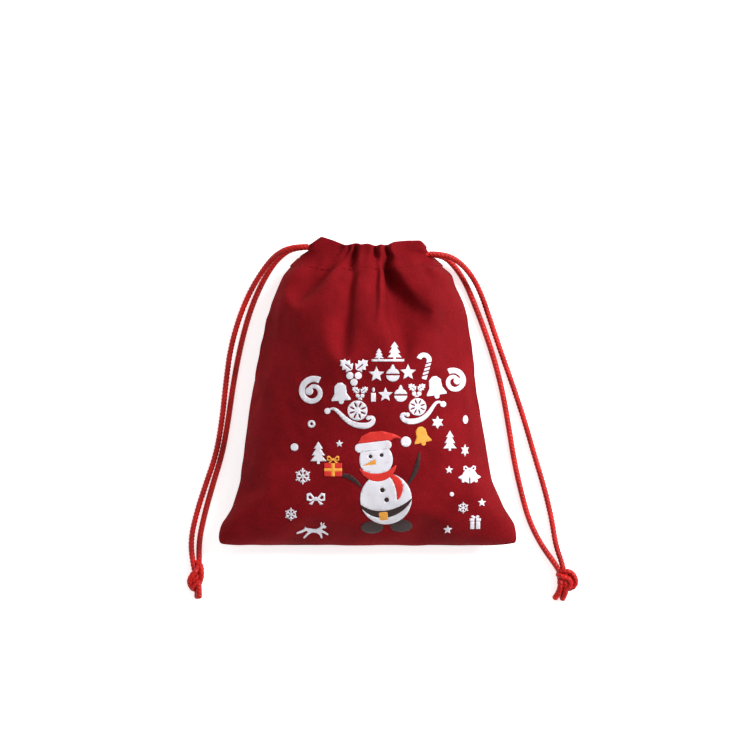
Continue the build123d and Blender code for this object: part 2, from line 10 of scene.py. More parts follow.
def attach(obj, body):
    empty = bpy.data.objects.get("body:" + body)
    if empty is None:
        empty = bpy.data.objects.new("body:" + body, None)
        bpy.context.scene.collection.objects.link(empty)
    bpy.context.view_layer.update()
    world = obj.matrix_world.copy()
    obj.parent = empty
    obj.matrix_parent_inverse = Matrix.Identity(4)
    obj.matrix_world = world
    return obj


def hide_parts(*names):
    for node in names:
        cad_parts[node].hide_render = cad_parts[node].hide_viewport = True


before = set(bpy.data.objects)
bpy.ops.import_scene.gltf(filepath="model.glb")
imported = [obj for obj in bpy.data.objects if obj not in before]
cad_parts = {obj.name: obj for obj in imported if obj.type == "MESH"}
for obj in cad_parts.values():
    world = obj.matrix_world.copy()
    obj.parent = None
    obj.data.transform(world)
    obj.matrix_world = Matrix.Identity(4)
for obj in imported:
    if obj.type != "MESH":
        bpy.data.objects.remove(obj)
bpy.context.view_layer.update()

MM = 0.001

# The sack lies on its back panel on the table: +X right, +Y from its bottom seam to its mouth, +Z up.
# Lengths below are in millimetres until a mesh is made.

CORD_D = 2.7  # diameter of the drawcords
CLOTH = 1.0  # thickness of the velour
FLAT_WIDTH = 160.0  # width of one panel as cut
FLAT_LENGTH = 173.0  # length of one panel from the bottom seam to the fold at the mouth
HEM = 17.0  # cloth turned in at the mouth to make the casing
NECK_WIDTH = 118.0  # flat width that is drawn in by the cord
CORD_LINE = 5.0  # distance of the cord line below the fold at the mouth
COLLAR = 11.0  # height of the cloth that the cords hold, from the fold
COLLAR_Y = 66.4  # where its lower edge lies
COLLAR_HALF = (39.6, 37.2)  # how far it reaches there to the left and to the right
SEAM_Z = 12.5  # height of the side seams at the collar
STITCH_ROW = 16.0  # distance of the casing's stitches below the fold
SLIT = 9.5  # length of the side slits at the mouth, where the cords come out
CORNER = 11.0  # radius of the bottom corners
FRONT_Z = 22.0  # height of the front casing's outer face
BACK_Z = 4.0  # height of the back casing's outer face
BOTTOM_Y = -78.0  # where the bottom seam lies
CORD_Y = 72.5  # where the cord line lies
FRONT_CORD_Z = 19.5  # height of the cords in the front casing
BACK_CORD_Z = 6.5  # height of the cords in the back casing
CORD_EXIT = 31.0  # how far from the middle the cords leave the casings
LEFT_EXIT_Y = 74.4  # where the left cord leaves the casings
RIGHT_EXIT_Y = 70.6  # where the right cord does


# Small helpers -----------------------------------------------------------------


def new_object(name, vertices, faces, smooth=True):
    """A mesh object from points in millimetres."""
    mesh = bpy.data.meshes.new(name)
    corners = [tuple(float(c) * MM for c in vertex) for vertex in vertices]
    mesh.from_pydata(corners, [], [tuple(map(int, face)) for face in faces])
    mesh.update()
    mesh.polygons.foreach_set("use_smooth", [smooth] * len(mesh.polygons))
    piece = bpy.data.objects.new(name, mesh)
    bpy.context.scene.collection.objects.link(piece)
    return piece


def apply_modifiers(piece):
    """Bake a piece's modifiers into its mesh."""
    evaluated = piece.evaluated_get(bpy.context.evaluated_depsgraph_get())
    mesh = bpy.data.meshes.new_from_object(evaluated)
    piece.modifiers.clear()
    piece.data = mesh


def smooth_steps(low, high, value):
    """0 below low, 1 above high, with soft ends."""
    t = np.clip((np.asarray(value, float) - low) / (high - low), 0, 1)
    return t * t * (3 - 2 * t)


WAVES = 28  # sine waves in the cloth's smooth noise


def wave_noise(points, size, seed):
    """Smooth noise of about -1 to 1 from seeded sine waves; size is its grain."""
    rng = np.random.default_rng(seed)
    total = np.zeros(len(points))
    for _ in range(WAVES):
        direction = rng.normal(size=3)
        direction /= np.linalg.norm(direction)
        length = size * rng.uniform(0.7, 1.6)
        total += np.sin(points @ direction * (2 * math.pi / length) + rng.uniform(0, 2 * math.pi))
    return total / math.sqrt(WAVES / 2) / 2


def lengths_along(line):
    """How far along a line each of its points is."""
    return np.r_[0, np.cumsum(np.linalg.norm(np.diff(line, axis=0), axis=1))]


# Materials ---------------------------------------------------------------------


def node_material(name):
    """An empty node material: its tree, a Principled shader and a function that adds nodes."""
    material = bpy.data.materials.new(name)
    material.use_nodes = True
    tree = material.node_tree
    shader = tree.nodes["Principled BSDF"]

    def add(kind, **values):
        node = tree.nodes.new(kind)
        for key, value in values.items():
            if hasattr(node, key):
                setattr(node, key, value)
            else:
                node.inputs[key.replace("_", " ")].default_value = value
        return node

    return material, tree.links.new, shader, add


def colour_ramp(add, stops):
    """A ramp through (position, colour) stops."""
    ramp = add("ShaderNodeValToRGB")
    elements = ramp.color_ramp.elements
    while len(elements) < len(stops):
        elements.new(0.5)
    for element, (position, colour) in zip(elements, stops):
        element.position = position
        element.color = (*colour, 1)
    return ramp


def velour(name, deep, lit, sheen):
    """Short-pile velour: uneven nap, a faint knit under it and a soft sheen."""
    material, link, shader, add = node_material(name)
    place = add("ShaderNodeTexCoord")
    nap = add("ShaderNodeTexNoise", Scale=42.0, Detail=5.0, Roughness=0.6)
    link(place.outputs["Object"], nap.inputs["Vector"])
    fibre = add("ShaderNodeTexNoise", Scale=1900.0, Detail=3.0, Roughness=0.7)
    link(place.outputs["Object"], fibre.inputs["Vector"])
    patches = colour_ramp(add, [(0.3, deep), (0.72, lit)])
    link(nap.outputs["Fac"], patches.inputs["Fac"])
    speckle = colour_ramp(add, [(0.32, (0.6, 0.6, 0.6)), (0.68, (1.25, 1.25, 1.25))])
    link(fibre.outputs["Fac"], speckle.inputs["Fac"])
    mix = add("ShaderNodeMixRGB", blend_type="MULTIPLY")
    mix.inputs["Fac"].default_value = 0.8
    link(patches.outputs["Color"], mix.inputs["Color1"])
    link(speckle.outputs["Color"], mix.inputs["Color2"])
    link(mix.outputs["Color"], shader.inputs["Base Color"])
    rough = add("ShaderNodeMapRange")
    rough.inputs["To Min"].default_value = 0.78
    rough.inputs["To Max"].default_value = 0.95
    link(nap.outputs["Fac"], rough.inputs["Value"])
    link(rough.outputs["Result"], shader.inputs["Roughness"])
    rows = add("ShaderNodeTexWave", wave_type="BANDS", bands_direction="X", Scale=420.0, Distortion=1.5)
    link(place.outputs["Object"], rows.inputs["Vector"])
    knit = add("ShaderNodeBump", Strength=0.12, Distance=0.0002)
    link(rows.outputs["Fac"], knit.inputs["Height"])
    pile = add("ShaderNodeBump", Strength=0.55, Distance=0.00035)
    link(fibre.outputs["Fac"], pile.inputs["Height"])
    link(knit.outputs["Normal"], pile.inputs["Normal"])
    link(pile.outputs["Normal"], shader.inputs["Normal"])
    shader.inputs["Sheen Weight"].default_value = sheen
    shader.inputs["Sheen Roughness"].default_value = 0.42
    shader.inputs["Sheen Tint"].default_value = (1.0, 0.1, 0.08, 1)
    shader.inputs["Specular IOR Level"].default_value = 0.04
    return material


def satin_cord(name, deep, lit):
    """Glossy braided cord: fine filaments that run along the braid."""
    material, link, shader, add = node_material(name)
    place = add("ShaderNodeTexCoord")
    filaments = add("ShaderNodeTexNoise", Scale=2600.0, Detail=2.0, Roughness=0.6)
    link(place.outputs["Object"], filaments.inputs["Vector"])
    drift = add("ShaderNodeTexNoise", Scale=130.0, Detail=3.0)
    link(place.outputs["Object"], drift.inputs["Vector"])
    blend = add("ShaderNodeMath", operation="MULTIPLY_ADD")
    link(filaments.outputs["Fac"], blend.inputs[0])
    blend.inputs[1].default_value = 0.55
    link(drift.outputs["Fac"], blend.inputs[2])
    ramp = colour_ramp(add, [(0.52, deep), (1.0, lit)])
    link(blend.outputs["Value"], ramp.inputs["Fac"])
    link(ramp.outputs["Color"], shader.inputs["Base Color"])
    bump = add("ShaderNodeBump", Strength=0.35, Distance=0.0001)
    link(filaments.outputs["Fac"], bump.inputs["Height"])
    link(bump.outputs["Normal"], shader.inputs["Normal"])
    shader.inputs["Roughness"].default_value = 0.42
    shader.inputs["Specular IOR Level"].default_value = 0.24
    return material


def transfer_print(name, colour, worn):
    """Matt heat-transfer print: a thin skin that shows the pile's grain, slightly worn."""
    material, link, shader, add = node_material(name)
    place = add("ShaderNodeTexCoord")
    grain = add("ShaderNodeTexNoise", Scale=1300.0, Detail=4.0, Roughness=0.65)
    link(place.outputs["Object"], grain.inputs["Vector"])
    wear = add("ShaderNodeTexNoise", Scale=190.0, Detail=4.0, Roughness=0.6)
    link(place.outputs["Object"], wear.inputs["Vector"])
    speck = add("ShaderNodeMath", operation="MULTIPLY_ADD")
    link(grain.outputs["Fac"], speck.inputs[0])
    speck.inputs[1].default_value = 0.6
    link(wear.outputs["Fac"], speck.inputs[2])
    ramp = colour_ramp(add, [(0.45, worn), (0.78, colour)])
    link(speck.outputs["Value"], ramp.inputs["Fac"])
    link(ramp.outputs["Color"], shader.inputs["Base Color"])
    bump = add("ShaderNodeBump", Strength=0.4, Distance=0.00015)
    link(grain.outputs["Fac"], bump.inputs["Height"])
    link(bump.outputs["Normal"], shader.inputs["Normal"])
    shader.inputs["Roughness"].default_value = 0.6
    shader.inputs["Specular IOR Level"].default_value = 0.3
    return material


PAINTED_TABLE_GLOW = 0.65  # how brightly the table glows by itself: painted light that pales the shadows cast on it and lights the sack a little from below


def floor_material():
    """A plain pale table top with a hardly visible mottle, which glows a little by itself: painted light
    that pales the shadows on it.
    """
    material, link, shader, add = node_material("table_top")
    place = add("ShaderNodeTexCoord")
    mottle = add("ShaderNodeTexNoise", Scale=9.0, Detail=4.0)
    link(place.outputs["Object"], mottle.inputs["Vector"])
    ramp = colour_ramp(add, [(0.3, (0.93, 0.93, 0.93)), (0.7, (0.97, 0.97, 0.97))])
    link(mottle.outputs["Fac"], ramp.inputs["Fac"])
    link(ramp.outputs["Color"], shader.inputs["Base Color"])
    # painted light: the table gives off its own colour as light, so the shadows on it look paler
    link(ramp.outputs["Color"], shader.inputs["Emission Color"])
    shader.inputs["Emission Strength"].default_value = PAINTED_TABLE_GLOW
    shader.inputs["Roughness"].default_value = 0.9
    return material


VELOUR = velour("red_velour", (0.155, 0.0042, 0.0068), (0.24, 0.0072, 0.0112), 0.07)
VELOUR_INSIDE = velour("red_velour_inside", (0.12, 0.004, 0.007), (0.2, 0.008, 0.012), 0.15)
CORD = satin_cord("satin_cord", (0.3, 0.004, 0.0035), (0.6, 0.012, 0.008))
THREAD = velour("sewing_thread", (0.155, 0.0042, 0.0068), (0.24, 0.0072, 0.0112), 0.0)
WHITE = transfer_print("print_white", (0.74, 0.72, 0.78), (0.6, 0.54, 0.6))
RED = transfer_print("print_red", (0.66, 0.028, 0.02), (0.48, 0.014, 0.014))
GOLD = transfer_print("print_gold", (0.83, 0.36, 0.05), (0.6, 0.18, 0.03))
DARK = transfer_print("print_dark", (0.03, 0.012, 0.012), (0.075, 0.02, 0.02))


# Camera, lights and table --------------------------------------------------------

VIEW_WIDTH = 382.5  # what the picture takes in at the height of the sack's side seams
VIEW_CENTRE = (3.1, 8.9)  # the place that the middle of the picture looks at
SEAM_HEIGHT = 20.0  # height of the side seams that the view's width is measured at
LENS = 200.0
SENSOR = 36.0
TABLE_HALF = 3000.0  # half the width of the table
WORLD_LIGHT = 0.42  # strength of the even light from all round


def make_camera():
    """Straight down on the sack, from far enough to flatten it as a long lens does."""
    data = bpy.data.cameras.new("camera")
    data.lens = LENS
    data.sensor_width = SENSOR
    camera = bpy.data.objects.new("camera", data)
    bpy.context.scene.collection.objects.link(camera)
    height = VIEW_WIDTH * LENS / SENSOR + SEAM_HEIGHT
    camera.location = (VIEW_CENTRE[0] * MM, VIEW_CENTRE[1] * MM, height * MM)
    bpy.context.scene.camera = camera


def sun(name, towards, strength, softness):
    """A distant lamp in the direction towards; softness is its apparent width in degrees."""
    data = bpy.data.lights.new(name, "SUN")
    data.energy = strength
    data.angle = math.radians(softness)
    light = bpy.data.objects.new(name, data)
    light.rotation_euler = Vector(towards).to_track_quat("Z", "Y").to_euler()
    bpy.context.scene.collection.objects.link(light)


def make_stage():
    """The table, the world's even light, and the lamps."""
    corners = [(x * TABLE_HALF, y * TABLE_HALF, 0) for x, y in ((-1, -1), (1, -1), (1, 1), (-1, 1))]
    floor = new_object("table", corners, [(0, 1, 2, 3)])
    floor.data.materials.append(floor_material())
    world = bpy.data.worlds.new("studio")
    bpy.context.scene.world = world
    world.use_nodes = True
    background = world.node_tree.nodes["Background"]
    background.inputs["Color"].default_value = (1, 1, 1, 1)
    background.inputs["Strength"].default_value = WORLD_LIGHT
    sun("key", (0.66, 0.42, 0.62), 3.9, 28)
    sun("fill", (0.1, 0.6, 0.8), 0.3, 80)
    bpy.context.scene.view_settings.view_transform = "Standard"


make_camera()
make_stage()


# Drawcords -----------------------------------------------------------------------

# The routes of the four free strands, the same points as the CAD tubes follow.
LEFT_FRONT_ROUTE = [
    (-31.0, 74.4, 19.5), (-39.5, 74.4, 19.5), (-48.0, 70.4, 13.0), (-55.0, 62.0, 6.4),
    (-61.3, 51.5, 3.0), (-66.8, 38.5, 1.4), (-71.4, 22.0, 1.4), (-73.7, 4.0, 1.4),
    (-75.6, -14.5, 1.4), (-78.6, -32.0, 1.4), (-84.2, -48.0, 1.4), (-89.0, -63.0, 1.4),
    (-91.9, -77.0, 1.8), (-90.2, -89.5, 3.4),
]
LEFT_BACK_ROUTE = [
    (-31.0, 74.4, 6.5), (-38.5, 74.4, 6.5), (-46.3, 69.6, 2.6), (-53.0, 60.2, 1.4),
    (-58.6, 48.6, 1.4), (-63.0, 36.0, 1.4), (-66.9, 20.0, 1.4), (-70.0, 3.0, 1.4),
    (-72.4, -14.5, 1.4), (-75.3, -31.0, 1.4), (-80.2, -47.0, 1.4), (-84.4, -62.0, 1.4),
    (-87.5, -76.5, 1.8), (-87.2, -89.5, 3.4),
]
RIGHT_FRONT_ROUTE = [
    (31.0, 70.6, 19.5), (38.5, 70.6, 19.5), (46.4, 66.8, 13.0), (53.2, 59.4, 6.4),
    (58.2, 49.4, 3.0), (62.4, 37.0, 1.4), (67.8, 21.0, 1.4), (74.0, 3.6, 1.4),
    (80.0, -14.5, 1.4), (85.3, -33.0, 1.4), (90.6, -50.5, 1.4), (94.2, -66.0, 1.4),
    (96.0, -78.5, 1.8), (100.0, -90.0, 3.4),
]
RIGHT_BACK_ROUTE = [
    (31.0, 70.6, 6.5), (37.5, 70.6, 6.5), (44.2, 64.8, 2.6), (49.8, 56.2, 1.4),
    (54.4, 45.0, 1.4), (59.4, 32.0, 1.4), (64.6, 16.5, 1.4), (68.9, -0.5, 1.4),
    (72.0, -18.5, 1.4), (74.7, -35.5, 1.4), (78.3, -51.5, 1.4), (82.3, -66.0, 1.4),
    (88.6, -78.6, 1.8), (96.9, -90.0, 3.4),
]


def spline_points(route):
    """Points read along the smooth NURBS curve whose control points are route, in millimetres."""
    curve = bpy.data.curves.new("guide", "CURVE")
    curve.dimensions = "3D"
    curve.resolution_u = 24
    spline = curve.splines.new("NURBS")
    spline.points.add(len(route) - 1)
    for point, place in zip(spline.points, route):
        point.co = (*[c * MM for c in place], 1)
    spline.order_u = 3
    spline.use_endpoint_u = True
    guide = bpy.data.objects.new("guide", curve)
    bpy.context.scene.collection.objects.link(guide)
    mesh = bpy.data.meshes.new_from_object(guide.evaluated_get(bpy.context.evaluated_depsgraph_get()))
    points = np.array([v.co[:] for v in mesh.vertices]) / MM
    bpy.data.objects.remove(guide)
    bpy.data.meshes.remove(mesh)
    return points


def even(points, step):
    """The same line with points an even step apart, and how far along it each of them is."""
    along = lengths_along(points)
    count = max(2, int(round(along[-1] / step)))
    at = np.linspace(0, along[-1], count + 1)
    return np.stack([np.interp(at, along, points[:, k]) for k in range(3)], axis=1), at


def carried_frames(points):
    """Two directions across the line at each point, turning no more than the line does."""
    along = np.gradient(points, axis=0)
    along /= np.linalg.norm(along, axis=1)[:, None]
    side = np.cross(along[0], (0.3, 0.2, 1.0))
    sides = []
    for direction in along:
        side = side - direction * (side @ direction)
        side /= np.linalg.norm(side)
        sides.append(side)
    sides = np.array(sides)
    return sides, np.cross(along, sides)


AROUND = 28  # points round a cord
BRAID_PITCH = 7.6  # length in which one strand of the braid goes once round
BRAID_STRANDS = 4  # strands that turn each way
BRAID_RELIEF = 0.26  # depth of the hollows between the strands, as a share of the radius
STRAND_SCALE = 1.12  # strands are drawn thicker, so that they are CORD_D thick with their hollows
TIP_SCALE = 1.22  # the knots' short ends are a little frayed, so thicker still
TABLE_GAP = 0.05  # the lowest that a cord's skin may lie above the table
TIP_LEAST = 0.02  # the square of the share of the radius that is left at a rounded tip


def braided_tube(name, points, radius, step=0.34, taper=(0.0, 0.0)):
    """A cord with the relief of an eight-strand braid along a line; taper rounds off each end."""
    line, at = even(np.asarray(points, float), step)
    first, second = carried_frames(line)
    angles = np.linspace(0, 2 * math.pi, AROUND, endpoint=False)
    turn = 2 * math.pi * at[:, None] / BRAID_PITCH
    one = np.cos(BRAID_STRANDS * (angles + turn))
    other = np.cos(BRAID_STRANDS * (angles - turn))
    over = np.cos(2 * math.pi * BRAID_STRANDS * at[:, None] / BRAID_PITCH + BRAID_STRANDS * angles / 2)
    weave = np.where(over > 0, one, other) * 0.6 + np.maximum(one, other) * 0.4
    size = radius * (1 - BRAID_RELIEF / 2) + BRAID_RELIEF * radius / 2 * weave
    for length, distance in ((taper[0], at), (taper[1], at[-1] - at)):
        if length:
            share = np.clip(distance / length, 0, 1)
            size *= np.sqrt(np.clip(1 - (1 - share) ** 2, TIP_LEAST, 1))[:, None]
    rings = (
        line[:, None, :]
        + size[..., None] * np.cos(angles)[None, :, None] * first[:, None, :]
        + size[..., None] * np.sin(angles)[None, :, None] * second[:, None, :]
    )
    rings[..., 2] = np.maximum(rings[..., 2], TABLE_GAP)
    vertices = list(rings.reshape(-1, 3)) + [line[0], line[-1]]
    faces = []
    for k in range(len(line) - 1):
        for m in range(AROUND):
            a, b = k * AROUND + m, k * AROUND + (m + 1) % AROUND
            faces.append((a, b, b + AROUND, a + AROUND))
    start, end, last = len(vertices) - 2, len(vertices) - 1, (len(line) - 1) * AROUND
    for m in range(AROUND):
        faces.append((start, (m + 1) % AROUND, m))
        faces.append((end, last + m, last + (m + 1) % AROUND))
    piece = new_object(name, vertices, faces)
    piece.data.materials.append(CORD)
    return piece


LOOP_TURN = 20.0  # how far past the middle a cord turns from the front casing to the back one
LOOP_STEPS = 12  # points round that turn


def casing_loop(name, side, exit_y, inner_y):
    """The hidden part of a drawcord: through the front casing, round, and back through the back one."""
    rise = (FRONT_CORD_Z - BACK_CORD_Z) / 2
    middle = (FRONT_CORD_Z + BACK_CORD_Z) / 2
    ahead = [
        (side * CORD_EXIT, exit_y),
        (side * 28.6, exit_y + (inner_y - exit_y) * 0.4),
        (side * 25.0, inner_y),
    ]
    turn = -side * LOOP_TURN
    points = [(x, y, FRONT_CORD_Z) for x, y in ahead] + [(turn, inner_y, FRONT_CORD_Z)]
    for k in range(1, LOOP_STEPS):
        angle = math.pi * k / LOOP_STEPS
        points.append((turn - side * rise * math.sin(angle), inner_y, middle + rise * math.cos(angle)))
    points += [(turn, inner_y, BACK_CORD_Z)] + [(x, y, BACK_CORD_Z) for x, y in reversed(ahead)]
    return braided_tube(name, points, CORD_D / 2)


TUCK = 0.08  # share of a winding line, at either end, that is tucked into the knot


def knot_turns(centre, radius, length, turns, lean, start):
    """A line that winds round a knot's middle, leaning, with its ends tucked inside."""
    points = []
    steps = int(40 * turns)
    for k in range(steps + 1):
        t = k / steps
        angle = start + 2 * math.pi * turns * t
        tuck = 1 - 0.75 * (max(0, TUCK - t) + max(0, t - (1 - TUCK))) / TUCK
        x, z = radius[0] * tuck * math.cos(angle), radius[1] * tuck * math.sin(angle)
        y = length * (0.5 - t) + lean * math.cos(angle)
        points.append((centre[0] + x, centre[1] + y, centre[2] + z))
    return points


# The middle of each knot, which its two strands run into.
KNOT_MIDDLE = {"left": (-88.5, -95.4, 4.0), "right": (100.0, -96.0, 4.0)}

# The turns of each knot that show, and the two short ends that stand out of it.
LEFT_KNOT = {
    "left_knot_over": [
        (-88.8, -86.8, 3.2), (-86.7, -88.2, 4.8), (-85.9, -91.4, 5.9), (-86.1, -95.4, 5.2),
        (-87.3, -98.4, 3.6),
    ],
    "left_knot_under": [
        (-86.6, -88.0, 3.6), (-88.4, -91.2, 6.3), (-91.0, -94.0, 6.3), (-92.4, -97.0, 4.8),
        (-91.2, -100.4, 3.5), (-89.0, -101.6, 2.6),
    ],
}
RIGHT_KNOT = {
    "right_knot_over": [
        (97.4, -94.6, 2.6), (97.4, -91.9, 4.4), (100.6, -91.7, 5.8), (103.9, -92.3, 5.4),
        (105.9, -95.1, 4.8), (106.4, -98.4, 4.0), (103.8, -101.2, 3.2), (100.4, -100.6, 2.6),
    ],
    "right_knot_lobe": [
        (97.2, -93.2, 4.6), (99.0, -94.7, 6.2), (102.0, -95.2, 5.6), (103.8, -97.2, 5.8),
        (103.3, -99.8, 5.0), (100.8, -100.8, 4.0), (98.4, -99.0, 3.0),
    ],
}
LEFT_ENDS = [
    [(-88.4, -97.0, 3.0), (-88.3, -100.8, 2.5), (-88.2, -103.8, 1.9), (-88.4, -106.4, 1.7)],
    [(-87.6, -97.0, 4.8), (-87.4, -100.8, 4.6), (-87.3, -103.8, 4.1), (-87.4, -106.2, 3.9)],
]
RIGHT_ENDS = [
    [(98.4, -94.6, 4.0), (98.6, -98.4, 5.0), (98.0, -101.8, 4.1), (96.6, -104.6, 2.5), (95.0, -106.6, 1.9)],
    [
        (100.6, -95.0, 4.0), (101.2, -98.2, 4.8), (101.1, -101.8, 3.9), (100.2, -104.8, 2.4),
        (98.9, -107.2, 1.9),
    ],
]


KNOT_STEP = 0.3  # length of the mesh's rings along a knot's cord


def braid_set(paths, scale, taper):
    """Braided pieces along several smooth named paths, scale times as thick as the cord."""
    radius = CORD_D / 2 * scale
    return [
        braided_tube(name, spline_points(path), radius, KNOT_STEP, taper)
        for name, path in paths.items()
    ]


def make_knot(side, core, paths, ends):
    """One knot: inner turns that fill it, the turns on top, and the two short ends."""
    turns = braided_tube(f"{side}_knot_turns", core, CORD_D / 2, KNOT_STEP)
    over = braid_set(paths, STRAND_SCALE, (0.6, 0.6))
    ends = {f"{side}_cord_end_{k + 1}": path for k, path in enumerate(ends)}
    tips = braid_set(ends, TIP_SCALE, (0.0, 1.3))
    for piece in [turns] + over + tips:
        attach(piece, f"{side}_drawcord")
    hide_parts(f"{side}_knot")
    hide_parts(f"{side}_cord_ends")
    return [turns] + over + tips


INTO_KNOT = 0.55  # how far a strand's end runs on from its route towards the knot's middle


def make_strand(side, place, route):
    """One free strand of a drawcord; its very end is inside the knot."""
    last = [p + (q - p) * INTO_KNOT for p, q in zip(route[-1], KNOT_MIDDLE[side])]
    points = spline_points(route + [last])
    strand = braided_tube(f"{side}_{place}_strand", points, CORD_D / 2 * STRAND_SCALE)
    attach(strand, f"{side}_drawcord")
    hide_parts(f"{side}_cord_{place}_strand")


def make_loop(side, direction, exit_y, inner_y):
    """The loop of a drawcord inside the casings, riding with its cord."""
    loop = casing_loop(f"{side}_loop", direction, exit_y, inner_y)
    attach(loop, f"{side}_drawcord")
    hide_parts(f"{side}_cord_loop")


def make_drawcords():
    """Both drawcords, and what rides with them."""
    left_core = knot_turns((-88.9, -95.8, 3.3), (2.4, 1.9), 7.4, 2.6, 1.8, 0.2)
    right_core = knot_turns((100.8, -95.8, 3.2), (3.0, 1.7), 5.0, 2.4, 1.2, 0.3)
    left_knot = make_knot("left", left_core, LEFT_KNOT, LEFT_ENDS)
    right_knot = make_knot("right", right_core, RIGHT_KNOT, RIGHT_ENDS)
    make_strand("left", "front", LEFT_FRONT_ROUTE)
    make_strand("left", "back", LEFT_BACK_ROUTE)
    make_strand("right", "front", RIGHT_FRONT_ROUTE)
    make_strand("right", "back", RIGHT_BACK_ROUTE)
    make_loop("left", -1, LEFT_EXIT_Y, 72.7)
    make_loop("right", 1, RIGHT_EXIT_Y, 69.5)


make_drawcords()


# The sack's cloth ------------------------------------------------------------------

COLUMNS = 92  # squares across a panel
STEP = FLAT_WIDTH / COLUMNS
ROWS = int(round(FLAT_LENGTH / STEP))
HEIGHTS = np.linspace(0, FLAT_LENGTH, ROWS + 1)
FRAMES = 60  # length of the simulation
DRAWN_IN = 0.45  # share of it in which the neck is drawn in
SIM = 0.01  # the simulation's units for a millimetre: it runs at ten times life size
PRESSURE = 4.6  # of the air in the sack, in the simulation's units
COARSE_MASS = 0.15  # mass of a point in the simulation when a panel is 52 squares across
START_Z = 16.0  # height of the seams before the simulation
SIDE_TAPER = 2.5  # how much narrower each side is cut above the belly

# The drawn-in front edge: x, and how far the cloth stands above the casing's flat parts.
FRONT_PLEATS = [
    (-30.5, -2.2), (-28.6, -0.2), (-21.0, 0.4), (-14.2, 0.6), (-11.6, 2.4), (-9.9, 0.8), (-8.6, 3.8),
    (-6.9, -0.4), (-5.0, 4.2), (-2.0, 4.0), (1.6, 4.9), (3.2, 1.6), (4.8, 5.4), (6.8, 5.6),
    (8.5, -0.6), (10.8, 4.4), (14.5, 2.9), (19.0, 1.0), (27.0, 0.2), (29.6, -2.2),
]
# The outline of the mouth's fold, left to right.
FRONT_EDGE = [
    (-30.8, 75.0), (-28.4, 76.6), (-24.3, 79.4), (-18.0, 77.4), (-12.2, 74.9), (-9.0, 75.4),
    (-6.6, 76.0), (-4.2, 75.2), (-0.6, 75.7), (3.4, 74.5), (6.0, 75.2), (9.0, 75.0),
    (13.0, 76.6), (19.0, 77.3), (26.6, 77.4), (28.4, 75.6), (30.0, 73.6),
]


def half_width(height):
    """Half the flat width of a panel at a height above the bottom seam."""
    drawn = float(smooth_steps(96, FLAT_LENGTH, height))
    taper = SIDE_TAPER * float(smooth_steps(20, 96, height))
    corner = 0.0
    if height < CORNER:
        corner = CORNER - math.sqrt(CORNER**2 - (CORNER - height) ** 2)
    return FLAT_WIDTH / 2 - taper - corner - drawn * (FLAT_WIDTH / 2 - taper - NECK_WIDTH / 2)


BACK_RUFFLES = 7  # how many ruffles the back of the neck has
RUFFLED_HALF = 25.0  # half the width that they take up


def back_pleats():
    """Small uneven ruffles for the back of the neck, in the same form as the front's list."""
    points = [(-30.5, -2.2), (-28.6, 0.0)]
    turns = 2 * BACK_RUFFLES
    for k in range(turns + 1):
        x = -RUFFLED_HALF + 2 * RUFFLED_HALF * k / turns + 0.8 * math.sin(1.7 * k)
        points.append((x, 0.3 * math.sin(k) - 0.5 if k % 2 else -2.8 - 0.7 * math.sin(2.1 * k)))
    return points + [(28.6, 0.0), (29.6, -2.2)]


def blurred(columns, reach, width):
    """Two columns of numbers, each blurred along its length over reach numbers either way."""
    spread = np.exp(-0.5 * (np.arange(-reach, reach + 1) / width) ** 2)
    spread /= spread.sum()
    padded = np.pad(columns, ((reach, reach), (0, 0)), mode="edge")
    return np.stack([np.convolve(padded[:, k], spread, "valid") for k in (0, 1)], axis=1)


def along_pleats(points):
    """A function from -1..1 across the cloth to a place on a pleated line with rounded corners."""
    corners = np.array(points)
    at = lengths_along(corners)
    fine = np.linspace(0, at[-1], 900)
    line = np.stack([np.interp(fine, at, corners[:, k]) for k in (0, 1)], axis=1)
    line = blurred(line, 18, 7.0)
    at = lengths_along(line)
    return lambda u: [float(np.interp((u + 1) / 2 * at[-1], at, line[:, k])) for k in (0, 1)]


def neck_place(side, u, height, pleats):
    """Where the collar holds a point: side is 1 on the front and -1 on the back."""
    x, stand = pleats(u)
    edges = np.array(FRONT_EDGE)
    top = float(np.interp(x, edges[:, 0], edges[:, 1]))
    if side < 0:
        top = min(top - 0.8, 75.0)
    below = FLAT_LENGTH - CORD_LINE - height
    if below <= 0:
        base = FRONT_Z if side > 0 else BACK_Z
        return x, CORD_Y - below / CORD_LINE * (top - CORD_Y), base + side * stand
    # Below the cord line the collar widens and flattens, and its sides close to the side seams.
    away = min(1.0, below / (COLLAR - CORD_LINE))
    half = COLLAR_HALF[0] if u < 0 else COLLAR_HALF[1]
    base = (FRONT_Z + 1.2 * away) if side > 0 else BACK_Z - 0.8 * away
    fold = stand * (1 - 0.1 * away) - (0.8 * away if side > 0 else 0.0)
    edge = away * float(smooth_steps(0.7, 1.0, abs(u)))
    return (
        x * (1 - away) + (0.7 * x / 30 + 0.3 * u) * half * away,
        CORD_Y + (COLLAR_Y - CORD_Y) * away,
        (base + side * fold) * (1 - edge) + SEAM_Z * edge,
    )


